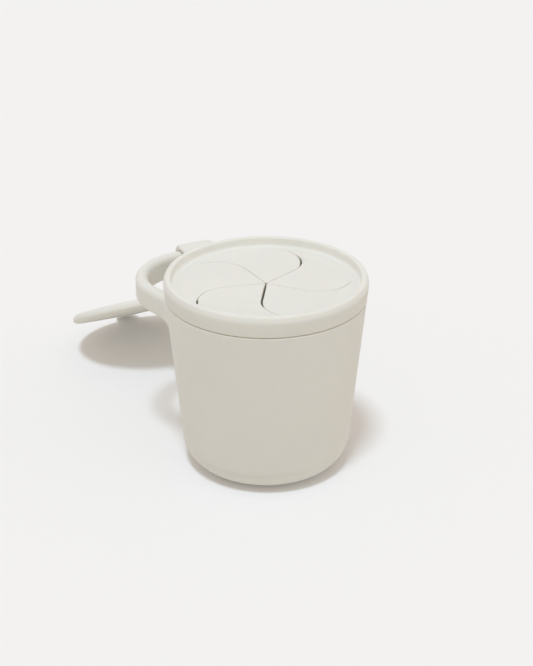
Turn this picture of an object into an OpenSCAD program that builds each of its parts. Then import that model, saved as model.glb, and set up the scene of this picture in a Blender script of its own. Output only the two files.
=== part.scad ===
// Toddler snack container: a silicone cup with a loop handle, a lid with five curved flaps, and a
// dust cover that hangs on a strap from the handle.
// Millimetres. Origin at the centre of the base, +Z up, the handle's centre on -X.

/* [Cup] */
// Radius of the flat foot that the cup stands on
foot_r = 24; // [20:0.5:30]
// Radius of the large round edge between foot and side
foot_round = 13.9; // [8:0.1:16]
// Draft of the cup's side, in degrees from upright
draft = 5.4; // [2:0.1:8]
// Wall of the cup, measured level
cup_wall = 3; // [2.4:0.1:3.6]
// Floor of the cup
cup_floor = 3.2; // [2:0.1:5]
// Height of the shoulder, where the lid's skirt begins
shoulder_z = 80.6; // [70:0.1:95]
// Height of the neck above the shoulder
neck_h = 3.55; // [2.5:0.05:6]
// How far the neck stands back from the cup's side
neck_step = 1.35; // [1:0.05:1.5]

/* [Lid] */
// Height of the lid's rim above the shoulder
rim_h = 9.65; // [9:0.05:14]
// Width of the rim at the top
rim_w = 3.4; // [3:0.1:5]
// Radius of the rim's outer top edge
rim_round = 1.5; // [0.5:0.1:1.6]
// Radius of the rim's inner top edge
rim_inner_round = 1.1; // [0.4:0.1:1.4]
// Thickness of the flexible web that the slits cut
web_t = 1.8; // [1.2:0.1:2.2]
// Gap between the lid's skirt and the cup's shoulder
seam_gap = 0.35; // [0.2:0.05:0.8]
// Gap between the skirt and the neck
skirt_gap = 0.15; // [0.1:0.05:0.3]
// Gap between the web's underside and the top of the neck
seat_gap = 0.05; // [0.02:0.01:0.2]
// Thickness of the sealing lip inside the neck
lip_t = 1.8; // [1:0.1:2.4]
// Length of the sealing lip below the web
lip_h = 5; // [3:0.5:7]
// Gap between the sealing lip and the inside of the cup
lip_gap = 0.25; // [0.1:0.05:0.5]

/* [Slits] */
// Number of flaps
flap_count = 5; // [5:1:5]
// Direction of the first slit, in degrees
slit_turn = 15.3; // [0:0.1:72]
// Width of a slit
slit_w = 0.3; // [0.2:0.05:0.6]
// Length of a slit's straight inner run
slit_run = 18; // [15:0.5:19]
// Radius of a slit's bend
slit_bend_r = 15; // [14:0.5:15.5]
// Turn of a slit's bend, in degrees
slit_bend = 80; // [76:1:82]
// Length of a slit's straight tail
slit_tail = 4; // [3:0.5:4.5]
// Radius of the hole where the slits meet
slit_eye_r = 0.7; // [0.3:0.1:1.5]
// Gap around the rounded fold edge of a flap
fold_gap = 0.1; // [0.06:0.02:0.2]
// Where a flap's fold ends, in degrees along the bend of the next slit
fold_end = 45; // [35:1:50]

/* [Handle] */
// Distance of the handle's middle line from the cup's axis at its outermost point
handle_reach = 65.2; // [62:0.1:70]
// Radius of the middle line of the handle's arc
handle_r = 25.2; // [23:0.1:27]
// Thickness of the handle's band
handle_t = 5.7; // [4.5:0.1:6.5]
// Height of the handle's band
handle_h = 12; // [10:0.1:14]
// Radius of the fillet under the handle where it meets the cup
root_fillet = 6; // [3:0.5:8]
// Splay of the handle's two arms, in degrees
handle_splay = 11; // [5:1:15]
// Distance from the shoulder down to the handle's top
handle_drop = 0.5; // [0.3:0.1:4]

/* [Tether] */
// Direction in which the open cover hangs, in degrees
tether_turn = 154.3; // [150:0.1:160]
// How far the loop sits round the handle's arc, in degrees from the arc's end to end middle
loop_turn = 24.1; // [20:0.1:30]
// Width of the loop and the strap
strap_w = 15.5; // [10:0.5:16]
// Thickness of the strap
strap_t = 2; // [1.6:0.1:2.2]
// Thickness of the loop's wall
loop_wall = 2.4; // [1.8:0.1:2.5]
// Gap between the loop and the handle
loop_gap = 0.5; // [0.3:0.05:0.6]
// Radius of the loop's outer corners
loop_round = 5; // [3:0.5:6]
// Radius of the loop's inner corners
loop_inner_round = 3; // [1:0.5:3.5]
// Distance from the handle's top down to the strap's root
root_drop = 2.8; // [1:0.1:4]
// Radius of the bead at each fold of the strap
bead_r = 1.6; // [1.5:0.05:1.8]
// Gap around a bead
bead_gap = 0.1; // [0.06:0.02:0.2]
// Gap between the folded strap and the loop
root_gap = 0.4; // [0.3:0.05:0.8]
// Length of the strap's first link
link_1_len = 11.5; // [10:0.1:13]
// Length of the strap's second link
link_2_len = 22.6; // [20:0.1:25]
// Slope of the first link as it hangs, in degrees
link_1_slope = 88.5; // [80:0.1:89]
// Slope of the second link
link_2_slope = 56.6; // [50:0.1:60]

/* [Dust cover] */
// Gap between the cover and the wall of the lid's recess
cover_gap = 0.6; // [0.4:0.05:1.2]
// Thickness of the cover
cover_t = 4.55; // [3.5:0.05:5.5]
// Radius of the cover's plug edge
cover_round = 2.6; // [1:0.1:3]
// Radius of the cover's outer edge
cover_edge = 0.5; // [0.2:0.1:0.8]
// Length of the strap's rigid root beyond the cover's edge
tongue_len = 6.3; // [5.5:0.1:7.5]
// Width of the pull tab
tab_w = 11.6; // [8:0.1:14]
// Thickness of the pull tab
tab_t = 2; // [1.4:0.1:2.4]
// Distance from the cover's edge to the tab's fold
tab_fold = 1.8; // [1.5:0.1:3]
// Length of the pull tab beyond its fold
tab_len = 6.2; // [4:0.1:9]
// Radius of the tab's corners
tab_round = 4; // [1:0.5:4.5]
// Gap between the hanging tab's end and the surface that the cup stands on
tab_clear = 0.1; // [0:0.05:1]

/* [Hidden] */
$fn = 96;
cream = "#dedad0";

// Side of the cup and lid, one straight taper
function side_r(z) = foot_r + foot_round / cos(draft) + (z - foot_round) * tan(draft);
total_h = shoulder_z + rim_h;
rim_r = side_r(total_h - rim_round);
neck_r = side_r(shoulder_z) - neck_step;
neck_top = shoulder_z + neck_h;
web_low = neck_top + seat_gap;
web_high = web_low + web_t;
recess_r = rim_r - rim_w;
function inner_r(z) = side_r(z) - cup_wall;
lip_low = web_low - lip_h;
lip_r = inner_r(lip_low) - lip_gap;
bowl_round = foot_round - cup_wall;

// Slits
flap_turn = 360 / flap_count;
tail_x = slit_run + slit_bend_r * sin(slit_bend);
tail_y = slit_bend_r * (1 - cos(slit_bend));
tip = [tail_x + slit_tail * cos(slit_bend), tail_y + slit_tail * sin(slit_bend)];
tip_r = norm(tip);
tip_turn = atan2(tip[1], tip[0]);
fold_dir = tip_turn + flap_turn / 2;
fold_d = tip_r * cos(flap_turn / 2);
fold_z = web_low + web_t / 2;

// Handle
handle_x = handle_reach - handle_r;
handle_top = shoulder_z - handle_drop;
arc_half = 90 - handle_splay;
arm_len = handle_x - neck_r / 2;

// Tether, measured in its own upright plane: w outwards from the handle's arc centre, z up
plane_lean = 180 - tether_turn;
arc_u = handle_x * cos(plane_lean);
arc_v = handle_r * sin(loop_turn);
tether_offset = arc_v - handle_x * sin(plane_lean);
band_out = sqrt(pow(handle_r + handle_t / 2, 2) - pow(max(0, arc_v - strap_w / 2), 2));
band_in = sqrt(pow(handle_r - handle_t / 2, 2) - pow(arc_v + strap_w / 2, 2));
hole_out = band_out + loop_gap;
hole_in = band_in - loop_gap;
hole_high = handle_top + loop_gap;
hole_low = handle_top - handle_h - loop_gap;
loop_face = hole_out + loop_wall;
fold_0 = [loop_face + strap_t / 2 + root_gap, handle_top - root_drop];
fold_1 = fold_0 + link_1_len * [cos(link_1_slope), -sin(link_1_slope)];
fold_2 = fold_1 + link_2_len * [cos(link_2_slope), -sin(link_2_slope)];

// Dust cover
cover_r = recess_r - cover_gap;
arm = cover_r + tongue_len;
tab_end = cover_r + tab_fold + tab_len;
// The cover hangs until its tab touches the surface below
half_strap = strap_t / 2 * cos(30);
cover_slope = asin((fold_2[1] - tab_clear - half_strap) / (arm + tab_end));
cover_c = fold_2 + arm * [cos(cover_slope), -sin(cover_slope)]
        - strap_t / 2 * [sin(cover_slope), cos(cover_slope)];

// Points of an arc
function arc(c, r, a0, a1, n) = [for (i = [0 : n]) c + r * [cos(a0 + (a1 - a0) * i / n),
                                                            sin(a0 + (a1 - a0) * i / n)]];

// Rounded rectangle between two corners
function round_box(low, high, r, n = 8) = concat(
    arc([high[0] - r, high[1] - r], r, 0, 90, n),
    arc([low[0] + r, high[1] - r], r, 90, 180, n),
    arc([low[0] + r, low[1] + r], r, 180, 270, n),
    arc([high[0] - r, low[1] + r], r, 270, 360, n));

// Outline of the cup's outside, from the axis to the shoulder
function cup_outside(top) = concat([[0, 0]],
    arc([foot_r, foot_round], foot_round, -90, -draft, 14), [[side_r(top), top]]);

// Outline of the cup's inside, from the axis to the mouth
bowl_c = [inner_r(cup_floor + bowl_round) - bowl_round / cos(draft), cup_floor + bowl_round];
function cup_inside(top) = concat([[0, cup_floor]],
    arc(bowl_c, bowl_round, -90, -draft, 12), [[inner_r(top), top], [0, top]]);

module cup_body() {
    color(cream) difference() {
        rotate_extrude() polygon(concat(cup_outside(shoulder_z), [[neck_r, shoulder_z],
            [neck_r, neck_top - 0.4], [neck_r - 0.4, neck_top], [0, neck_top]]));
        rotate_extrude() polygon(cup_inside(neck_top + 1));
    }
}

// Section of the handle's band, with its outer face towards +X and its top at z = 0
module band_section(h) {
    polygon(round_box([-handle_t / 2, -h], [handle_t / 2, 0], handle_t / 2 - 0.35));
}

// Fillet under an arm, drawn along the arm from its start and down from its top
root_start = arm_len - 2 * root_fillet;
root_arc = arc([root_start, -handle_h - root_fillet], root_fillet, 90, 20, 10);
module arm_fillet() {
    rotate([90, 0, 90]) linear_extrude(0.8 * handle_t, center = true) polygon(concat(root_arc,
        [[arm_len, root_arc[10][1]], [arm_len, -handle_h / 2], [root_start, -handle_h / 2]]));
}

// One arm of the handle, from the end of the arc into the cup
module arm() {
    translate([0, arm_len, 0]) rotate([90, 0, 0]) linear_extrude(arm_len) band_section(handle_h);
    arm_fillet();
}

module handle() {
    color(cream) difference() {
        translate([-handle_x, 0, handle_top]) union() {
            rotate([0, 0, 180 - arc_half]) rotate_extrude(angle = 2 * arc_half)
                translate([handle_r, 0]) band_section(handle_h);
            rotate([0, 0, 180 + arc_half]) translate([handle_r, 0, 0]) arm();
            mirror([0, 1, 0]) rotate([0, 0, 180 + arc_half]) translate([handle_r, 0, 0]) arm();
        }
        rotate_extrude() polygon(concat(cup_outside(shoulder_z + 5), [[0, shoulder_z + 5]]));
    }
}

// Section of the lid's rim with the skirt that covers the neck
rim_section = concat([[recess_r, web_low]],
    arc([recess_r + rim_inner_round, total_h - rim_inner_round], rim_inner_round, 180, 90, 5),
    arc([rim_r - rim_round, total_h - rim_round], rim_round, 90, -draft, 6),
    [[side_r(shoulder_z + seam_gap), shoulder_z + seam_gap],
     [neck_r + skirt_gap, shoulder_z + seam_gap], [neck_r + skirt_gap, web_low]]);

// Section of the lid's web with the sealing lip under it
web_section = [[0, web_high], [recess_r, web_high], [recess_r, web_low], [lip_r, web_low],
    [lip_r, lip_low + 0.6], [lip_r - 0.5, lip_low], [lip_r - lip_t, lip_low],
    [lip_r - lip_t, web_low], [0, web_low]];

// Edge of a slit in its own direction: side 1 is its left edge, -1 its right edge
function slit_edge(side, turn_to, n) = concat([[0, side * slit_w / 2]],
    arc([slit_run, slit_bend_r], slit_bend_r - side * slit_w / 2, -90, turn_to - 90, n));
function spin(points, a) = [for (p = points) [p[0] * cos(a) - p[1] * sin(a),
                                              p[0] * sin(a) + p[1] * cos(a)]];
function onto_fold(p) = p + (fold_d - p * [cos(fold_dir), sin(fold_dir)])
                          * [cos(fold_dir), sin(fold_dir)];

// Flap between the first slit and the next, up to its fold line
tail_dir = [cos(slit_bend), sin(slit_bend)];
left_edge = slit_edge(1, slit_bend, 12);
tail_left = tip + slit_w / 2 * [-tail_dir[1], tail_dir[0]];
right_edge = spin(slit_edge(-1, fold_end, 8), flap_turn);
fold_start = onto_fold(tail_left) + slit_w * [-sin(fold_dir), cos(fold_dir)];
fold_stop = onto_fold(right_edge[len(right_edge) - 1]);
flap_point = slit_w / 2 / sin(flap_turn / 2) * [cos(flap_turn / 2), sin(flap_turn / 2)];
flap_outline = concat([flap_point], [for (i = [1 : len(left_edge) - 1]) left_edge[i]],
    [fold_start, fold_stop], [for (i = [len(right_edge) - 1 : -1 : 1]) right_edge[i]]);

// Round edge along the fold of a flap, or the groove around it
module fold_round(r, extra) {
    run = fold_stop - fold_start;
    start = fold_start - extra * run / norm(run);
    translate([start[0], start[1], fold_z]) rotate([0, 0, fold_dir + 90]) rotate([0, 90, 0])
        cylinder(r = r, h = norm(run) + 2 * extra, $fn = 32);
}

module flap(k) {
    color(cream) rotate([0, 0, slit_turn + k * flap_turn]) difference() {
        union() {
            translate([0, 0, web_low]) linear_extrude(web_t) polygon(flap_outline);
            fold_round(web_t / 2, 0);
        }
        rotate([0, 0, -slit_turn - k * flap_turn]) cylinder(r = slit_eye_r, h = 2 * total_h);
    }
}

// Opening in the web for one flap, with the whole slit on its near side
module flap_opening() {
    along = slit_w * [-sin(fold_dir), cos(fold_dir)];
    near = slit_edge(-1, slit_bend, 12);
    far = spin(slit_edge(0, fold_end + 1.2, 8), flap_turn);
    tail_right = tip - slit_w / 2 * [-tail_dir[1], tail_dir[0]];
    translate([0, 0, web_low - 1]) linear_extrude(web_t + 2) polygon(concat([[0, 0]],
        [for (i = [1 : len(near) - 1]) near[i]], [tail_right, tail_left, fold_start - along],
        [fold_stop + along], [for (i = [len(far) - 1 : -1 : 1]) far[i]]));
    fold_round(web_t / 2 + fold_gap, slit_w);
}

module lid_rim() {
    color(cream) rotate_extrude() polygon(rim_section);
}

module lid_web() {
    color(cream) difference() {
        rotate_extrude() polygon(web_section);
        for (k = [0 : flap_count - 1]) rotate([0, 0, slit_turn + k * flap_turn]) flap_opening();
    }
}

// Puts a piece that is drawn as w outwards, z up and v across into the tether's plane
module in_plane() {
    rotate([0, 0, tether_turn]) translate([arc_u, -tether_offset, 0]) children();
}

// A slab of the strap from one point to another along its middle line
module slab(len, width, thick) {
    translate([0, -width / 2, -thick / 2]) cube([len, width, thick]);
}

module bead(r, width) {
    rotate([90, 0, 0]) cylinder(r = r, h = width, center = true, $fn = 48);
}

module tether_loop() {
    color(cream) in_plane() {
        rotate([90, 0, 0]) linear_extrude(strap_w, center = true) difference() {
            polygon(round_box([hole_in - loop_wall, hole_low - loop_wall],
                              [loop_face, hole_high + loop_wall], loop_round));
            polygon(round_box([hole_in, hole_low], [hole_out, hole_high], loop_inner_round));
        }
        translate([fold_0[0], 0, fold_0[1]]) bead(bead_r, strap_w);
    }
}

module strap_upper() {
    color(cream) in_plane() translate([fold_0[0], 0, fold_0[1]]) rotate([0, link_1_slope, 0])
        difference() {
            union() {
                slab(link_1_len, strap_w, strap_t);
                translate([link_1_len, 0, 0]) bead(bead_r, strap_w);
            }
            bead(bead_r + bead_gap, strap_w + 2);
        }
}

module strap_lower() {
    color(cream) in_plane() translate([fold_1[0], 0, fold_1[1]]) rotate([0, link_2_slope, 0])
        difference() {
            slab(link_2_len, strap_w, strap_t);
            bead(bead_r + bead_gap, strap_w + 2);
            translate([link_2_len, 0, 0]) bead(bead_r + bead_gap, strap_w + 2);
        }
}

// The open cover's own frame: x down its slope, z towards its plug side, origin on its outer face
module on_cover() {
    in_plane() translate([cover_c[0], 0, cover_c[1]]) rotate([0, cover_slope, 0]) children();
}

cover_section = concat([[0, 0]], arc([cover_r - cover_edge, cover_edge], cover_edge, -90, 0, 3),
    arc([cover_r - cover_round, cover_t - cover_round], cover_round, 0, 90, 8), [[0, cover_t]]);

module dust_cover() {
    color(cream) on_cover() {
        rotate_extrude() polygon(cover_section);
        translate([-arm, 0, strap_t / 2]) slab(tongue_len + 4, strap_w, strap_t);
        translate([-arm, 0, strap_t / 2]) bead(bead_r, strap_w);
        translate([cover_r - 3, 0, tab_t / 2]) slab(tab_fold + 3, tab_w, tab_t);
        translate([cover_r + tab_fold, 0, tab_t / 2]) bead(tab_t / 2, tab_w);
    }
}

module pull_tab() {
    color(cream) on_cover() translate([cover_r + tab_fold, 0, 0]) difference() {
        linear_extrude(tab_t) polygon(concat([[0, -tab_w / 2]],
            arc([tab_len - tab_round, -tab_w / 2 + tab_round], tab_round, -90, 0, 8),
            arc([tab_len - tab_round, tab_w / 2 - tab_round], tab_round, 0, 90, 8),
            [[0, tab_w / 2]]));
        translate([0, 0, tab_t / 2]) bead(tab_t / 2 + bead_gap, tab_w + 2);
    }
}

cup_body();
handle();
lid_rim();
lid_web();
flap(0);  // flap_1
flap(1);  // flap_2
flap(2);  // flap_3
flap(3);  // flap_4
flap(4);  // flap_5
tether_loop();
strap_upper();
strap_lower();
dust_cover();
pull_tab();
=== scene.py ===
# %% [markdown]
# # A silicone snack cup, built around its CAD frame
#
# The real object is three soft mouldings of one cream silicone: a tapered cup with a loop handle,
# a lid whose top is cut into five curved flaps, and a thick dust cover that hangs on a strap.
# The CAD model gives every size and every hinge. This script gives the same pieces the look of
# moulded silicone: soft edges, thin slits, a strap that bends, and a matte skin. Shapes are drawn
# in millimetres and turned into metres, the frame's unit, as each one becomes an object.

# %% load the frame
import bmesh
import bpy
import math
from mathutils import Matrix, Vector


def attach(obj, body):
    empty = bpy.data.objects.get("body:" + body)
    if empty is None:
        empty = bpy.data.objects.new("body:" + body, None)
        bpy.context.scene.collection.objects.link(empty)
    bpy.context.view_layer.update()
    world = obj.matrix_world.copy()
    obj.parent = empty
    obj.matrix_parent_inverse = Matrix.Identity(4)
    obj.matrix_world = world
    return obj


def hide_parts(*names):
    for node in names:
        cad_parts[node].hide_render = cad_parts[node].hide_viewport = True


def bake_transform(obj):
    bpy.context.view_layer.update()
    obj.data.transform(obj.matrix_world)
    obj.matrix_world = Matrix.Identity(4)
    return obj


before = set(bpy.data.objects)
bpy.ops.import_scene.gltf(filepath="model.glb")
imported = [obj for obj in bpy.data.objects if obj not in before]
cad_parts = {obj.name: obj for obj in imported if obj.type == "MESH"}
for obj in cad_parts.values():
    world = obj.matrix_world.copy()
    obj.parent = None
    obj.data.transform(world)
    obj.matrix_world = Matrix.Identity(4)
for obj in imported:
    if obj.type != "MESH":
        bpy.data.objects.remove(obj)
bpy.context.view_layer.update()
MM = 0.001

# %% [markdown]
# ## Camera
#
# The photograph was taken from a little above the table with a long lens. A camera could be
# placed by eye, but then no size could be compared with the photograph. This one was fitted to
# the lid's two ellipses, the seam and the cup's sides: 26 degrees above the table and about
# 0.7 m away. The handle points to -X in the model, so the photograph's view is 39 degrees round
# from the front.

# %% camera
VIEW_TURN, VIEW_RISE = math.radians(39), math.radians(26.09)
VIEW_DISTANCE = 696.97
AIM = (0.177, 0, 61.77)
to_view = Matrix.Rotation(VIEW_TURN, 3, "Z")
aim = to_view @ Vector(AIM)
back = to_view @ Vector((0, -math.cos(VIEW_RISE), math.sin(VIEW_RISE)))
lens = bpy.data.cameras.new("photo_camera")
lens.lens = 85
lens.sensor_width = 36
lens.sensor_fit = "AUTO"
lens.clip_start = 0.01
lens.dof.use_dof = False
camera = bpy.data.objects.new("photo_camera", lens)
bpy.context.collection.objects.link(camera)
camera.location = (aim + back * VIEW_DISTANCE) * MM
camera.rotation_euler = (math.pi / 2 - VIEW_RISE, 0, VIEW_TURN)
bpy.context.scene.camera = camera
print("camera at", [round(x, 3) for x in camera.location])

# %% [markdown]
# ## Light
#
# The photograph comes from a white studio: one lamp makes the shadows, and white surfaces send
# light back from all round. Area lamps and cards could stand about the object, but suns and a
# plain sky light every place alike, so colours are easier to match. One wide, slightly cool sun
# above and a little to the front left throws the cover's shadow to the back right, and an even,
# slightly warm sky fills the rest. Together they make a neutral white, but a shaded place gets
# only the warm part, which is why the shadows in the photograph are brownish. Three weak suns
# that throw no shadow stand in for the white surfaces, on the right, on the left and below.

# %% suns
SUN_LIGHT = (0.325, 0.385, 0.435)
SUN_WAY, SUN_SPREAD = Vector((0.08, 0.33, -1)).normalized(), math.radians(10)
FILL_SPREAD = math.radians(60)
FILLS = {"right_fill": ((-0.95, 0.25, -0.05), 0.09),
         "left_fill": ((0.80, 0.60, -0.05), 0.02),
         "under_fill": ((0, 0.2, 1), 0.16)}


def add_sun(name, way, energy, spread):
    """Adds a sun whose light goes that way, as the camera sees it, and returns its settings."""
    data = bpy.data.lights.new(name, "SUN")
    data.energy = energy
    data.angle = spread
    lamp = bpy.data.objects.new(name, data)
    lamp.rotation_euler = (to_view @ Vector(way)).to_track_quat("-Z", "Y").to_euler()
    bpy.context.collection.objects.link(lamp)
    print(f"{name}: energy {energy:.2f}")
    return data


sun = add_sun("soft_sun", SUN_WAY, math.pi * max(SUN_LIGHT) / abs(SUN_WAY.z), SUN_SPREAD)
sun.color = [part / max(SUN_LIGHT) for part in SUN_LIGHT]
for name, (way, strength) in FILLS.items():
    add_sun(name, way, math.pi * strength, FILL_SPREAD).use_shadow = False

# %% [markdown]
# ## Sky and floor
#
# The photograph's background is one pale grey, and the cup's side is a tone darker than its lid.
# A sky and a floor as pale as that would light the side too much. So both have two colours, and
# the Light Path node picks one: the camera sees the pale grey, and the object gets the light of
# a darker one. The floor is a plain sheet that keeps the object's shadow.

# %% sky
SKY_LIGHT, SKY_SEEN = (0.660, 0.590, 0.532), (0.888, 0.888, 0.888)


def seen_rays(tree):
    """1 where the camera, a reflection or a clear part looks, and 0 for light on the object."""
    rays = tree.nodes.new("ShaderNodeLightPath")
    total = rays.outputs["Is Camera Ray"]
    for kind in ("Is Glossy Ray", "Is Transmission Ray"):
        more = tree.nodes.new("ShaderNodeMath")
        more.operation, more.use_clamp = "ADD", True
        tree.links.new(total, more.inputs[0])
        tree.links.new(rays.outputs[kind], more.inputs[1])
        total = more.outputs["Value"]
    return total


def two_colours(tree, seen, light_colour, seen_colour):
    """The light colour where seen is 0, and the seen colour where it is 1."""
    mix = tree.nodes.new("ShaderNodeMix")
    mix.data_type = "RGBA"
    mix.inputs["A"].default_value = light_colour + (1,)
    mix.inputs["B"].default_value = seen_colour + (1,)
    tree.links.new(seen, mix.inputs["Factor"])
    return mix.outputs["Result"]


world = bpy.data.worlds.new("studio_sky")
bpy.context.scene.world = world
world.use_nodes = True
tree = world.node_tree
sky = tree.nodes["Background"]
tree.links.new(two_colours(tree, seen_rays(tree), SKY_LIGHT, SKY_SEEN), sky.inputs["Color"])
sky.inputs["Strength"].default_value = 1.0
bpy.context.scene.view_settings.view_transform = "Standard"
print("sky nodes:", len(tree.nodes))

# %% floor
FLOOR_REACH, FLOOR_LIFT = 6, 0.05
FLOOR_LIGHT, FLOOR_SEEN = (0.62, 0.59, 0.54), (0.846, 0.846, 0.846)
bm = bmesh.new()
bmesh.ops.create_grid(bm, x_segments=1, y_segments=1, size=FLOOR_REACH)
floor_data = bpy.data.meshes.new("floor_sheet")
bm.to_mesh(floor_data)
bm.free()
floor = bpy.data.objects.new("floor_sheet", floor_data)
bpy.context.collection.objects.link(floor)

paper = bpy.data.materials.new("pale_paper")
paper.use_nodes = True
tree = paper.node_tree
skin = tree.nodes["Principled BSDF"]
skin.inputs["Roughness"].default_value = 0.9
skin.inputs["Specular IOR Level"].default_value = 0.0
skin.inputs["Emission Color"].default_value = (1, 1, 1, 1)
seen = seen_rays(tree)
lift = tree.nodes.new("ShaderNodeMath")
lift.operation = "MULTIPLY"
lift.inputs[1].default_value = FLOOR_LIFT
tree.links.new(seen, lift.inputs[0])
tree.links.new(lift.outputs["Value"], skin.inputs["Emission Strength"])
tree.links.new(two_colours(tree, seen, FLOOR_LIGHT, FLOOR_SEEN), skin.inputs["Base Color"])
floor_data.materials.append(paper)
print("floor reaches", FLOOR_REACH, "m to each side")

# %% [markdown]
# ## Silicone
#
# Platinum silicone from a blasted mould is matte and a little warm. A plain colour would look
# like paint, and an image texture would stretch where a piece bends, so the finish is made from
# noise in the object's own space. Its colour hardly changes, so a broad, faint noise shifts it by
# about one percent, a fine noise roughens the skin, and a very small bump breaks up the
# highlights. Light also goes a millimetre or two into it, which is what softens the edges. The
# same recipe serves every piece; only the grain's turn differs.

# %% silicone material
CREAM = (0.788, 0.786, 0.738)
CLOUD_DARK, CLOUD_LIGHT = 0.985, 1.012


def silicone(name, turn=0.0, colour=CREAM):
    """The silicone finish, with its grain turned by that angle in radians."""
    material = bpy.data.materials.new(name)
    material.use_nodes = True
    nodes, links = material.node_tree.nodes, material.node_tree.links
    skin = nodes["Principled BSDF"]
    place = nodes.new("ShaderNodeTexCoord")
    turned = nodes.new("ShaderNodeMapping")
    turned.inputs["Rotation"].default_value = (0.3, 0.7, turn)
    links.new(place.outputs["Object"], turned.inputs["Vector"])

    cloud = nodes.new("ShaderNodeTexNoise")
    cloud.inputs["Scale"].default_value = 38
    cloud.inputs["Detail"].default_value = 3
    links.new(turned.outputs["Vector"], cloud.inputs["Vector"])
    tint = nodes.new("ShaderNodeValToRGB")
    low, high = tint.color_ramp.elements
    low.position, high.position = 0.30, 0.70
    low.color = tuple(c * CLOUD_DARK for c in colour) + (1,)
    high.color = tuple(c * CLOUD_LIGHT for c in colour) + (1,)
    links.new(cloud.outputs["Fac"], tint.inputs["Fac"])
    links.new(tint.outputs["Color"], skin.inputs["Base Color"])

    grain = nodes.new("ShaderNodeTexNoise")
    grain.inputs["Scale"].default_value = 2600
    grain.inputs["Detail"].default_value = 4
    links.new(turned.outputs["Vector"], grain.inputs["Vector"])
    matte = nodes.new("ShaderNodeMapRange")
    matte.inputs["To Min"].default_value = 0.58
    matte.inputs["To Max"].default_value = 0.74
    links.new(grain.outputs["Fac"], matte.inputs["Value"])
    links.new(matte.outputs["Result"], skin.inputs["Roughness"])
    bump = nodes.new("ShaderNodeBump")
    bump.inputs["Strength"].default_value = 0.12
    bump.inputs["Distance"].default_value = 0.00004
    links.new(grain.outputs["Fac"], bump.inputs["Height"])
    links.new(bump.outputs["Normal"], skin.inputs["Normal"])

    skin.inputs["Specular IOR Level"].default_value = 0.25
    skin.inputs["Sheen Weight"].default_value = 0.25
    skin.inputs["Sheen Roughness"].default_value = 0.5
    skin.inputs["Subsurface Weight"].default_value = 0.22
    skin.inputs["Subsurface Radius"].default_value = (1.0, 0.75, 0.5)
    skin.inputs["Subsurface Scale"].default_value = 0.0015
    print(f"{name}: {len(nodes)} nodes")
    return material


cup_silicone = silicone("cup_silicone", 0.0)
lid_silicone = silicone("lid_silicone", 0.9)
cover_silicone = silicone("cover_silicone", 2.1)

# %% [markdown]
# Inside a narrow gap, light goes through so much silicone that it comes out brownish. More
# subsurface depth could do that, but it would blur every edge as well. So that light and shade
# are painted instead: the cut faces of the slits, and the skirt's lower edge that draws the
# seam's line, get a slightly deeper, warmer tone as painted shade. It is mild, because a bent
# flap shows its cut edge.

# %% painted shade inside a gap
GAP_SHADE_CREAM = (0.68, 0.63, 0.51)
gap_shade_silicone = silicone("gap_shade_silicone", 0.9, GAP_SHADE_CREAM)


def paint_gap_shade(piece, is_gap):
    """Paints shade onto the faces inside a narrow gap, as a deeper, warmer tone."""
    piece.data.materials.append(gap_shade_silicone)
    faces = [face for face in piece.data.polygons if is_gap(face)]
    for face in faces:
        face.material_index = 1
    print(f"{piece.name}: {len(faces)} faces lie inside a gap")


# %% [markdown]
# ## Helpers
#
# Everything on this object is turned on an axis, such as the cup, or is a soft rounded strip,
# such as the handle, or is cut from a plate, such as a flap. Each could start from a ready-made
# cylinder or cube, but their rounded profiles matter most, so they start from rounded lines. The
# first three helpers round the corners of a line, spin a line into a shape, and make an object of
# a shape. The others come where they are first needed.

# %% rounded lines
def soften(corners, closed=False, count=8):
    """Rounds the corners of a line. A corner is (x, y) or (x, y, radius)."""
    points = []
    for i, corner in enumerate(corners):
        here = Vector(corner[:2])
        radius = corner[2] if len(corner) > 2 else 0
        if radius <= 0 or (not closed and i in (0, len(corners) - 1)):
            points.append(here)
            continue
        before = (Vector(corners[i - 1][:2]) - here).normalized()
        after = (Vector(corners[(i + 1) % len(corners)][:2]) - here).normalized()
        half = before.angle(after) / 2
        centre = here + (before + after).normalized() * radius / math.sin(half)
        start = here + before * radius / math.tan(half) - centre
        end = here + after * radius / math.tan(half) - centre
        turn = math.atan2(start.x * end.y - start.y * end.x, start.dot(end))
        for step in range(count + 1):
            points.append(centre + Matrix.Rotation(turn * step / count, 2) @ start)
    return points


# %% turned shapes
STEPS = 180


def turned_shape(profile, closed=False):
    """Spins a profile of (radius, height) round the Z axis."""
    bm = bmesh.new()
    row = [bm.verts.new((x, 0, z)) for x, z in profile]
    line = [bm.edges.new(pair) for pair in zip(row, row[1:])]
    if closed:
        line.append(bm.edges.new((row[-1], row[0])))
    bmesh.ops.spin(bm, geom=row + line, cent=(0, 0, 0), axis=(0, 0, 1),
                   angle=2 * math.pi, steps=STEPS, use_merge=True)
    bmesh.ops.remove_doubles(bm, verts=bm.verts, dist=1e-4)
    bmesh.ops.recalc_face_normals(bm, faces=bm.faces)
    return bm


# %% from a shape to an object
def to_object(name, bm, material, sharp=40):
    """Makes an object in metres, smooth-shaded apart from edges past the sharp angle."""
    bmesh.ops.scale(bm, vec=(MM, MM, MM), verts=bm.verts)
    mesh = bpy.data.meshes.new(name)
    bm.to_mesh(mesh)
    bm.free()
    for face in mesh.polygons:
        face.use_smooth = True
    mesh.set_sharp_from_angle(angle=math.radians(sharp))
    mesh.materials.append(material)
    piece = bpy.data.objects.new(name, mesh)
    bpy.context.collection.objects.link(piece)
    size = [round(d / MM, 1) for d in piece.dimensions]
    print(f"{name}: {len(mesh.polygons)} faces, {size} mm")
    return piece


# %% [markdown]
# ## Cup
#
# The cup is one moulding with a plain turned shape. Cones with bevelled edges could make it, but
# its rounds differ a lot, and one profile gives each corner its own radius. The profile runs from
# the middle of the base, round the large base radius and up the tapered side, over the stepped
# neck that the lid covers, and back down the inside.

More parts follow.
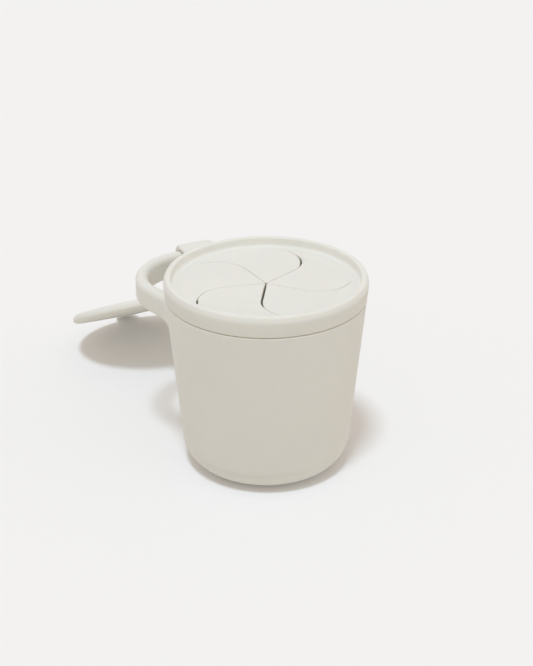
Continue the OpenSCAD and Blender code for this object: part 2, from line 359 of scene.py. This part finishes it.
# %% cup
FOOT_R, FOOT_ROUND = 24.0, 13.9
DRAFT = math.radians(5.4)
SHOULDER_Z, NECK_R, NECK_TOP = 80.6, 42.9, 84.15
WALL, BASE_T = 3.0, 3.2


def side_r(z):
    """Radius of the tapered side at a height."""
    return FOOT_R + FOOT_ROUND / math.cos(DRAFT) + (z - FOOT_ROUND) * math.tan(DRAFT)


cup_profile = soften([
    (0, 0), (side_r(0), 0, FOOT_ROUND), (side_r(SHOULDER_Z), SHOULDER_Z, 0.6),
    (NECK_R, SHOULDER_Z, 0.25), (NECK_R, NECK_TOP, 0.45),
    (side_r(NECK_TOP) - WALL, NECK_TOP, 0.55),
    (side_r(BASE_T) - WALL, BASE_T, FOOT_ROUND - WALL), (0, BASE_T)], count=14)
cup = to_object("cup_wall", turned_shape(cup_profile), cup_silicone)
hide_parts("cup_body")
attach(cup, "cup")

# %% [markdown]
# ## Handle
#
# The handle is a soft band bent round in plan, moulded in one with the cup, so the two flow into
# each other. A boolean with a bevelled seam could join them, but the seam is a twisted curve that
# bevels badly. Instead the band is a loft of rounded sections, and near the cup each point of a
# section is led outwards and then moved onto a blended surface. That surface is where a smooth
# minimum of two distances is zero, the distance to the cup and the distance to the band.

# %% spaced points
def spread(points, gap=0.6, closed=False):
    """Adds points to a line so that none is further than gap from the next."""
    out = [points[0]]
    for a, b in zip(points, points[1:] + (points[:1] if closed else [])):
        count = max(1, math.ceil((b - a).length / gap))
        out += [a.lerp(b, (i + 1) / count) for i in range(count)]
    return out[:-1] if closed else out


def last_true(near, far, is_true, rounds=40):
    """Halves the way between near and far to find the last place where is_true holds."""
    for _ in range(rounds):
        half = (near + far) / 2
        near, far = (half, far) if is_true(half) else (near, half)
    return near


# %% the band's path and section
HANDLE_X, HANDLE_R = 40.0, 25.2
BAND_T, BAND_H, BAND_TOP, BAND_ROUND = 5.7, 12.0, 80.1, 2.8
ARC_HALF, POINT_GAP = math.radians(79), 0.8


def band_place(along, side):
    """The band's middle, and the way outwards, at a distance from its outermost point."""
    angle = math.pi - side * min(along / HANDLE_R, ARC_HALF)
    out = Vector((math.cos(angle), math.sin(angle), 0))
    way = side * Vector((out.y, -out.x, 0))
    past = max(0.0, along - HANDLE_R * ARC_HALF)
    return Vector((-HANDLE_X, 0, 0)) + out * HANDLE_R + way * past, out


band_edge = spread(soften([(BAND_T / 2, 0, BAND_ROUND), (-BAND_T / 2, 0, BAND_ROUND),
                           (-BAND_T / 2, -BAND_H, BAND_ROUND),
                           (BAND_T / 2, -BAND_H, BAND_ROUND)], closed=True),
                   POINT_GAP, closed=True)
print("points round the band:", len(band_edge))


def band_normal(i):
    """Way out of the section at its point i, as (across, up)."""
    step = band_edge[(i + 1) % len(band_edge)] - band_edge[i - 1]
    return Vector((step.y, -step.x)).normalized()


# %% distances
BLEND = 4.0  # how wide the smooth minimum blends
PROBE, ROUNDS, LEAST_SLOPE = 0.01, 12, 0.05


def cup_gap(p):
    """Distance from a point to the cup's side, negative inside."""
    return (math.hypot(p.x, p.y) - side_r(p.z)) * math.cos(DRAFT)


def band_gap(p):
    """Distance from a point to the band, negative inside."""
    x, y, edge = p.x + HANDLE_X, abs(p.y), math.pi - ARC_HALF
    if math.atan2(y, x) > edge:
        across = math.hypot(x, y) - HANDLE_R
    else:
        across = x * math.cos(edge) + y * math.sin(edge) - HANDLE_R
    a = abs(across) - BAND_T / 2 + BAND_ROUND
    b = abs(p.z - BAND_TOP + BAND_H / 2) - BAND_H / 2 + BAND_ROUND
    return math.hypot(max(a, 0), max(b, 0)) + min(max(a, b), 0) - BAND_ROUND


def moulded_gap(p):
    """The smooth minimum of the two, whose zero is the blended surface."""
    a, b = cup_gap(p), band_gap(p)
    near = max(BLEND - abs(a - b), 0) / BLEND
    return min(a, b) - near * near * BLEND / 4


def onto_moulding(p):
    """Moves a point along the slope of moulded_gap until it lies on the blended surface."""
    for _ in range(ROUNDS):
        gap = moulded_gap(p)
        slope = Vector([(moulded_gap(p + way * PROBE) - gap) / PROBE
                        for way in (Vector((1, 0, 0)), Vector((0, 1, 0)), Vector((0, 0, 1)))])
        p = p - slope * gap / max(slope.length_squared, LEAST_SLOPE)
    return p


outermost = Vector((-HANDLE_X - HANDLE_R, 0, BAND_TOP - BAND_H / 2))
print("the band's middle lies", round(-band_gap(outermost), 2), "mm inside it")

# %% [markdown]
# Each point of the section gets a column of places: some along the free band, and more in the
# fillet, which starts a lead away from the cup and ends inside its wall. The fillet is wanted on
# the band's sides and below it. On top the band ends level with the cup's shoulder, so points that
# face up run straight in and aren't led outwards.

# %% columns of places along the band
LEAD, FREE_STEPS, FILLET_STEPS = BLEND * 1.15, 56, 22
FARTHEST, INSIDE, ROOT = 70.0, 1.5, 0.5
LEVEL_FROM, LEVEL_SPAN, LEVEL_SHAPE = 0.15, 0.75, 1.5


def band_column(i, side):
    """All places of section point i, from the handle's middle into the cup."""
    edge, normal = band_edge[i], band_normal(i)

    def on_band(along):
        middle, out = band_place(along, side)
        return middle + out * edge.x + Vector((0, 0, BAND_TOP + edge.y)), out

    def reach(gap):
        return last_true(0.0, FARTHEST, lambda along: cup_gap(on_band(along)[0]) > gap)

    lead_at = reach(LEAD)
    column = [on_band(lead_at * k / FREE_STEPS)[0] for k in range(FREE_STEPS + 1)]
    start, out = on_band(lead_at)
    corner = on_band(reach(0.0))[0]
    inwards = Vector((-corner.x, -corner.y, 0)).normalized()
    outwards = out * normal.x + Vector((0, 0, normal.y))
    outwards = (outwards - inwards * outwards.dot(inwards)).normalized()
    level = max(0.0, min(1.0, (normal.y - LEVEL_FROM) / LEVEL_SPAN)) ** LEVEL_SHAPE
    for k in range(1, FILLET_STEPS + 1):
        part = k / FILLET_STEPS
        plain = start.lerp(corner + inwards * INSIDE, part)
        led = onto_moulding(start.lerp(corner, part).lerp(
            corner.lerp(corner + outwards * LEAD, part), part))
        spot = plain.lerp(led, 1 - level)
        spot.z = min(spot.z, BAND_TOP)
        if k == FILLET_STEPS:
            spot += inwards * ROOT
        column.append(spot)
    return column


columns = {side: [band_column(i, side) for i in range(len(band_edge))] for side in (-1, 1)}
print("places along each half of the band:", len(columns[1][0]))

# %% lofts
def closed_line(bm, points):
    """Draws a closed line through the points and returns its edges."""
    ring = [bm.verts.new(point) for point in points]
    return [bm.edges.new((a, b)) for a, b in zip(ring, ring[1:] + ring[:1])]


def loft(bm, loops, closed=False):
    """Joins each closed line to the next, and caps the two ends unless they join too."""
    for one, other in zip(loops, loops[1:] + (loops[:1] if closed else [])):
        bmesh.ops.bridge_loops(bm, edges=one + other)
    if not closed:
        for end in (loops[0], loops[-1]):
            bmesh.ops.contextual_create(bm, geom=end)
    bmesh.ops.recalc_face_normals(bm, faces=bm.faces)


# %% handle
bm = bmesh.new()
last = FREE_STEPS + FILLET_STEPS
loops = []
for side, order in ((-1, range(last, -1, -1)), (1, range(1, last + 1))):
    for k in order:
        loops.append(closed_line(bm, [column[k] for column in columns[side]]))
loft(bm, loops)
handle = to_object("handle_band", bm, cup_silicone, sharp=60)
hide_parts("handle")
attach(handle, "cup")

# %% [markdown]
# ## Lid rim
#
# The rim, the skirt over the neck and the sealing lip are one turned ring. They could be spun
# together with the lid's flat top, but the slits cut that, so the top is a piece of its own. The
# two meet inside the recess, where both are level and no edge shows. Near its top the outer side
# leans in a little, and then a small round leads over to the top. That gives the rim its crisp
# light line with a soft tail.

# %% lid rim
WEB_LOW, WEB_HIGH, LID_TOP = 84.2, 86.0, 90.25
RECESS_R, SEAM_Z, MEET_R = 41.6, 80.95, 38.6
LIP_R, LIP_T, LIP_LOW = 40.87, 1.8, 79.2
LEAN_FROM, LEAN_IN = 87.8, 1.3
SKIRT_R, DOWNWARD, SEAM_NEAR = NECK_R + 0.15, -0.5, 0.3
rim_profile = soften([
    (MEET_R, WEB_HIGH), (RECESS_R, WEB_HIGH, 1.4), (RECESS_R, LID_TOP, 0.7),
    (side_r(LID_TOP) - LEAN_IN, LID_TOP, 1.2), (side_r(LEAN_FROM), LEAN_FROM, 4.0),
    (side_r(SEAM_Z), SEAM_Z, 0.4), (SKIRT_R, SEAM_Z, 0.25),
    (SKIRT_R, WEB_LOW, 0.3), (LIP_R, WEB_LOW, 0.3), (LIP_R, LIP_LOW, 0.6),
    (LIP_R - LIP_T, LIP_LOW, 0.5), (LIP_R - LIP_T, WEB_LOW, 0.3), (MEET_R, WEB_LOW)],
    closed=True, count=7)


def is_seam_face(face):
    """A face on the skirt's lower edge."""
    return face.normal.z < DOWNWARD and abs(face.center.z / MM - SEAM_Z) < SEAM_NEAR


lid_ring = to_object("lid_ring", turned_shape(rim_profile, closed=True), lid_silicone)
# the skirt's lower edge gets painted shade, which draws the seam's dark line
paint_gap_shade(lid_ring, is_seam_face)
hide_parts("lid_rim")
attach(lid_ring, "lid")

# %% [markdown]
# ## Slits and flaps
#
# Five slits start at the centre, run straight, bend to one side and end near the recess wall.
# Between two slits lies a flap. Its fold is the straight line from one slit's end towards the
# next slit. A boolean could cut such slits, but at 0.2 mm wide it leaves ragged corners. So the
# outlines are drawn exactly, once in the slit's own direction, and turned five times. Silicone
# closes on itself, so they are hairlines, apart from three places that gape in the photograph:
# most of the slit towards the viewer, one slit's bend and another one's end.

# %% slit lines
FLAPS, FLAP_TURN, SLIT_TURN = 5, math.radians(72), math.radians(15.3)
SLIT_RUN, BEND_R, BEND, TAIL = 18.0, 15.0, math.radians(80), 4.0
EYE_R, HAIRLINE, SLIT_STEP = 0.7, 0.11, 0.75
BEND_LEN = BEND_R * BEND
SLIT_LEN = SLIT_RUN + BEND_LEN + TAIL
tail_way = Vector((math.cos(BEND), math.sin(BEND)))
tail_left = Vector((-tail_way.y, tail_way.x))
bend_end = Vector((SLIT_RUN + BEND_R * math.sin(BEND), BEND_R * (1 - math.cos(BEND))))
slit_tip = bend_end + tail_way * TAIL
fold_way = math.atan2(slit_tip.y, slit_tip.x) + FLAP_TURN / 2
fold_normal = Vector((math.cos(fold_way), math.sin(fold_way)))
fold_reach = slit_tip.dot(fold_normal)
CLOSED = (0, 1, 0, 1)  # where a gape starts and ends, how wide it gets, and its shape
GAPES = {4: (-2.0, 25.5, 0.42, 0.45), 1: (22.5, 37.0, 0.40, 1.2), 3: (36.7, 41.7, 0.36, 0.8)}


def gape(which, along):
    """Half the width of a slit at that length along it."""
    start, end, most, shape = GAPES.get(which % FLAPS, CLOSED)
    part = (along - start) / (end - start)
    return HAIRLINE + most * math.sin(math.pi * min(max(part, 0), 1)) ** shape


def slit_point(which, side, along):
    """A point on a slit's edge: side 1 is its left, -1 its right."""
    half = side * gape(which, along)
    if along <= SLIT_RUN:
        return Vector((along, half))
    if along <= SLIT_RUN + BEND_LEN:
        turn = (along - SLIT_RUN) / BEND_R
        return Vector((SLIT_RUN + (BEND_R - half) * math.sin(turn),
                       BEND_R - (BEND_R - half) * math.cos(turn)))
    return bend_end + tail_way * (along - SLIT_RUN - BEND_LEN) + tail_left * half


def slit_edge(which, side, start, end):
    """A slit's edge as a line of points."""
    count = max(2, round((end - start) / SLIT_STEP))
    return [slit_point(which, side, start + (end - start) * i / count) for i in range(count + 1)]


print("slit length:", round(SLIT_LEN, 2), "mm, fold at", round(fold_reach, 2), "mm")

# %% where the fold meets the slits
def turned(points, angle):
    """The points of a line, turned about the centre."""
    return [Matrix.Rotation(angle, 2) @ point for point in points]


def fold_crossing(which):
    """How far along the next slit's outer edge the fold line of this flap meets it."""
    def is_before(along):
        spot = turned([slit_point(which + 1, -1, along)], FLAP_TURN)[0]
        return spot.dot(fold_normal) < fold_reach

    return last_true(SLIT_RUN, SLIT_RUN + BEND_LEN, is_before)


def fold_start(which):
    """Where the left edge of a slit's tail meets the fold line."""
    left = slit_point(which, 1, SLIT_LEN)
    return left + tail_way * (fold_reach - left.dot(fold_normal)) / tail_way.dot(fold_normal)


print("folds meet the next slit at:", [round(fold_crossing(k), 2) for k in range(FLAPS)])

# %% outlines of a flap and of its opening
TAIL_CUT, TIP_EXTRA = 0.3, 0.04


def flap_outline(which):
    """The flap's edge: out along its slit, over the fold, and back along the next slit."""
    left = slit_edge(which, 1, EYE_R, SLIT_LEN - TAIL_CUT)
    right = turned(slit_edge(which + 1, -1, EYE_R, fold_crossing(which)), FLAP_TURN)
    return left + [fold_start(which)] + right[::-1]


def opening_outline(which):
    """The web's edge beside that flap: the fold line, then out round the next slit's end."""
    far = slit_edge(which + 1, -1, fold_crossing(which), SLIT_LEN)
    far.append(slit_tip + tail_way * (HAIRLINE + TIP_EXTRA))
    return [fold_start(which)] + turned(far, FLAP_TURN)


opening = []
for which in range(FLAPS):
    opening += turned(opening_outline(which), SLIT_TURN + which * FLAP_TURN)
circle = [Vector((MEET_R * math.cos(a), MEET_R * math.sin(a)))
          for a in [2 * math.pi * i / STEPS for i in range(STEPS)]]
print("points round the opening:", len(opening))

# %% plates
def plate(lines, z):
    """A flat face at that height inside the first line. A second line is a hole in it."""
    bm = bmesh.new()
    edges = []
    for line in lines:
        edges += closed_line(bm, [(x, y, z) for x, y in line])
    bmesh.ops.triangle_fill(bm, edges=edges, use_beauty=True, normal=(0, 0, 1))
    return bm


def extrude_down(bm, depth):
    """Gives a plate its thickness downwards."""
    grown = bmesh.ops.extrude_face_region(bm, geom=list(bm.faces), use_keep_orig=True)
    low = [v for v in grown["geom"] if isinstance(v, bmesh.types.BMVert)]
    bmesh.ops.translate(bm, verts=low, vec=(0, 0, -depth))
    bmesh.ops.recalc_face_normals(bm, faces=bm.faces)


# %% lid top
SLIT_ROUND, CREASE, UPRIGHT = 0.15, 15, 0.3
RIM_NEAR, FOLD_NEAR = 0.2, 0.01


def is_fold_or_rim(edge):
    """True for edges that meet another piece, where a round would leave a groove."""
    middle = (edge.verts[0].co + edge.verts[1].co) / 2
    if math.hypot(middle.x, middle.y) > MEET_R - RIM_NEAR:
        return True
    for which in range(FLAPS):
        way = SLIT_TURN + which * FLAP_TURN + fold_way
        reaches = [v.co.x * math.cos(way) + v.co.y * math.sin(way) for v in edge.verts]
        if all(abs(reach - fold_reach) < FOLD_NEAR for reach in reaches):
            return True
    return False


def web_piece(name, bm):
    """Thickens a plate, rounds its slit edges, and paints shade onto the slit's walls as a deeper
    tone.
    """
    slit_top = [e for e in bm.edges if e.is_boundary and not is_fold_or_rim(e)]
    extrude_down(bm, WEB_HIGH - WEB_LOW)
    bmesh.ops.bevel(bm, geom=slit_top, offset=SLIT_ROUND, segments=2, profile=0.5,
                    affect="EDGES", clamp_overlap=False, material=-1)
    piece = to_object(name, bm, lid_silicone, sharp=CREASE)
    paint_gap_shade(piece, lambda face: abs(face.normal.z) < UPRIGHT)
    return piece


lid_top = web_piece("lid_top", plate([circle, opening], WEB_HIGH))
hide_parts("lid_web")
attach(lid_top, "lid")

# %% [markdown]
# A flap is the same sheet of silicone as the lid's top, and it bends where it joins it. A rigid
# flap on a hinge line would crack open there.

# %% cuts to bend at
def cut_across(bm, way, places):
    """Cuts a plate at each distance along way, so that it has points to bend with."""
    for place in places:
        bmesh.ops.bisect_plane(bm, geom=list(bm.verts) + list(bm.edges) + list(bm.faces),
                               plane_co=way * place, plane_no=way)


# %% flaps
FOLD_CUT, FOLD_CUTS, FOLD_LEN = 0.6, 12, 6
for which in range(FLAPS):
    turn = SLIT_TURN + which * FLAP_TURN
    bm = plate([turned(flap_outline(which), turn)], WEB_HIGH)
    way = (Matrix.Rotation(turn, 2) @ fold_normal).to_3d()
    cut_across(bm, way, [fold_reach - FOLD_CUT * i for i in range(1, FOLD_CUTS + 1)])
    flap = web_piece(f"push_flap_{which + 1}", bm)
    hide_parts(f"flap_{which + 1}")
    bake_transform(flap)

# %% [markdown]
# ## Tether
#
# The loop, the strap and the cover are one moulding that hangs from the handle. They could be
# drawn flat and turned into place one by one, but they share one upright plane, so they are
# drawn in that: w outwards from the middle of the handle's bend, z up, and v across the strap.
# A short formula then stands that plane where the loop sits on the handle.

# %% the strap's plane
TETHER_TURN, LOOP_TURN = math.radians(154.3), math.radians(24.1)
LOOP_V = HANDLE_R * math.sin(LOOP_TURN)
LEAN = math.pi - TETHER_TURN
out_way = Vector((math.cos(TETHER_TURN), math.sin(TETHER_TURN), 0))
cross_way = Vector((math.sin(TETHER_TURN), -math.cos(TETHER_TURN), 0))
base_spot = (out_way * HANDLE_X * math.cos(LEAN)
             + cross_way * (LOOP_V - HANDLE_X * math.sin(LEAN)))
STRAP_W, STRAP_T = 15.5, 2.0
KNUCKLE = Vector((32.235, 77.3))
STRAP_BEND = Vector((32.536, 65.804))
COVER_BEND = Vector((44.977, 46.936))


def way_down(degrees):
    """Way along the plane that slopes down by that angle."""
    angle = math.radians(degrees)
    return Vector((math.cos(angle), -math.sin(angle)))


def in_plane(spot, v=0.0):
    """The place in space of a point (w, z), v to the side of the strap's middle."""
    return base_spot + out_way * spot.x + cross_way * v + Vector((0, 0, spot.y))


UPPER_WAY, LOWER_WAY, COVER_WAY = way_down(88.5), way_down(56.6), way_down(28.489)
print("knuckle at", [round(x, 1) for x in in_plane(KNUCKLE)], "mm")

# %% [markdown]
# A strap is a rounded strip. A bevelled curve could make it, but a loft of sections keeps its
# width level and its ends flat. The loop is such a strip with its ends joined, and the knuckle is
# the thick place where the strap starts.

# %% strip along a line
def strip(line, width=STRAP_W, thick=STRAP_T, radius=0.7, closed=False, shift=0.0):
    """Lofts a rounded section along a line of (w, z) points."""
    bm = bmesh.new()
    section = soften([(width / 2 + shift, thick / 2, radius),
                      (-width / 2 + shift, thick / 2, radius),
                      (-width / 2 + shift, -thick / 2, radius),
                      (width / 2 + shift, -thick / 2, radius)], closed=True, count=5)
    loops = []
    for i, spot in enumerate(line):
        after = line[(i + 1) % len(line)] if closed else line[min(i + 1, len(line) - 1)]
        before = line[i - 1] if closed else line[max(i - 1, 0)]
        way = (after - before).normalized()
        up = Vector((-way.y, way.x))
        loops.append(closed_line(bm, [in_plane(spot + up * h, v) for v, h in section]))
    loft(bm, loops, closed)
    return bm


# %% loop round the handle
LOOP_IN, LOOP_OUT, LOOP_LOW, LOOP_HIGH = 10.29, 30.835, 65.2, 83.0
LOOP_WALL, LOOP_EXTRA, LOOP_ROUND = 2.4, 1.0, 4.0
KNUCKLE_R, KNUCKLE_IN = 1.6, 2.5
inset = LOOP_WALL / 2
loop_line = spread(soften([(LOOP_IN + inset, LOOP_LOW + inset, LOOP_ROUND),
                           (LOOP_OUT - inset, LOOP_LOW + inset, LOOP_ROUND),
                           (LOOP_OUT - inset, LOOP_HIGH - inset, LOOP_ROUND),
                           (LOOP_IN + inset, LOOP_HIGH - inset, LOOP_ROUND)], closed=True),
                   POINT_GAP, closed=True)
bm = strip(loop_line, width=STRAP_W + LOOP_EXTRA, thick=LOOP_WALL, radius=1.1, closed=True,
           shift=-LOOP_EXTRA / 2)
knuckle = bmesh.ops.create_cone(bm, cap_ends=True, segments=40, radius1=KNUCKLE_R,
                                radius2=KNUCKLE_R, depth=STRAP_W - KNUCKLE_IN)
stand = cross_way.to_track_quat("Z", "Y").to_matrix().to_4x4()
stand.translation = in_plane(KNUCKLE)
bmesh.ops.transform(bm, matrix=stand, verts=knuckle["verts"])
loop = to_object("handle_loop", bm, cover_silicone)
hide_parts("tether_loop")
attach(loop, "loop")

# %% [markdown]
# The strap bends in two places, which are soft and have no pin. Two rigid straps would show a
# hinge there, so the strap is parted in its straight stretches instead, and each piece that
# holds a bend is one curve.

# %% strap
JOIN_AT, BEND_AT, BEND_ROUND = 6.0, 4.5, 14.0
join_1 = KNUCKLE + UPPER_WAY * JOIN_AT
join_2 = COVER_BEND - LOWER_WAY * JOIN_AT


def bent_line(start, bend, end):
    """A line that turns at the bend with the strap's own radius."""
    return spread(soften([tuple(start), tuple(bend) + (BEND_ROUND,), tuple(end)], count=12))


strap_root = to_object("strap_root", strip(spread([KNUCKLE, join_1])), cover_silicone)
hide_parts("strap_upper")
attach(strap_root, "strap_upper")

strap_band = to_object("strap_band", strip(bent_line(join_1, STRAP_BEND, join_2)),
                       cover_silicone)
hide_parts("strap_lower")
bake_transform(strap_band)

# %% [markdown]
# ## Dust cover
#
# The cover is a thick disc with a small round on its outer face and a wide one on the side that
# plugs into the lid. A cylinder with one bevel can't have both, so it is turned from a profile
# like the cup. The strap's end, the tongue, runs onto the outer face. It is part of the same
# piece.

# %% cover
COVER_R, COVER_T, TONGUE, TONGUE_ON = 41.0, 4.55, 6.3, 3.0
rise = Vector((-COVER_WAY.y, COVER_WAY.x))
cover_middle = COVER_BEND + COVER_WAY * (COVER_R + TONGUE) - rise * (STRAP_T / 2)
cover_profile = soften([(0, 0), (COVER_R, 0, 1.5), (COVER_R, COVER_T, 2.9), (0, COVER_T)],
                       count=10)
x_way = out_way * COVER_WAY.x + Vector((0, 0, COVER_WAY.y))
z_way = out_way * rise.x + Vector((0, 0, rise.y))
disc_place = Matrix((x_way, z_way.cross(x_way), z_way)).transposed().to_4x4()
disc_place.translation = in_plane(cover_middle)
bm = turned_shape(cover_profile)
bmesh.ops.transform(bm, matrix=disc_place, verts=bm.verts)

tongue = strip(bent_line(join_2, COVER_BEND, COVER_BEND + COVER_WAY * (TONGUE + TONGUE_ON)))
tongue_mesh = bpy.data.meshes.new("tongue")
tongue.to_mesh(tongue_mesh)
tongue.free()
bm.from_mesh(tongue_mesh)
bpy.data.meshes.remove(tongue_mesh)
cover = to_object("cover_disc", bm, cover_silicone)
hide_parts("dust_cover")
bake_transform(cover)

# %% [markdown]
# ## Pull tab
#
# A finger lifts the cover by a short tab on its edge, opposite the strap. In the photograph only
# its shadow shows. A plain block could stand for it, but it flexes, so it is a plate with rounded
# corners that is cut across near the cover's edge, as the flaps are, and then thickened.

# %% pull tab
TAB_W, TAB_T, TAB_LEN, TAB_FOLD = 11.6, 2.0, 6.2, 1.8
TAB_IN, TAB_CORNER, TAB_ROUND = 2.5, 4.0, 0.6
TAB_CUT, TAB_CUTS, CUTS_IN, FLEX_IN, FLEX_OUT = 0.5, 15, 1.0, 1.5, 2.0
tab_end = COVER_R + TAB_FOLD + TAB_LEN
tab_line = soften([(COVER_R - TAB_IN, -TAB_W / 2), (tab_end, -TAB_W / 2, TAB_CORNER),
                   (tab_end, TAB_W / 2, TAB_CORNER), (COVER_R - TAB_IN, TAB_W / 2)], count=10)


def is_level_edge(edge):
    """True where a level face meets an upright one."""
    return edge.is_manifold and len({abs(round(f.normal.z)) for f in edge.link_faces}) == 2


bm = plate([tab_line], TAB_T)
cut_across(bm, Vector((1, 0, 0)),
           [COVER_R - CUTS_IN + TAB_CUT * i for i in range(1, TAB_CUTS + 1)])
extrude_down(bm, TAB_T)
bmesh.ops.bevel(bm, geom=[e for e in bm.edges if is_level_edge(e)], offset=TAB_ROUND,
                segments=4, profile=0.5, affect="EDGES", clamp_overlap=True, material=-1)
bmesh.ops.transform(bm, matrix=disc_place, verts=bm.verts)
tab = to_object("cover_tab", bm, cover_silicone)
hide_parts("pull_tab")
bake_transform(tab)
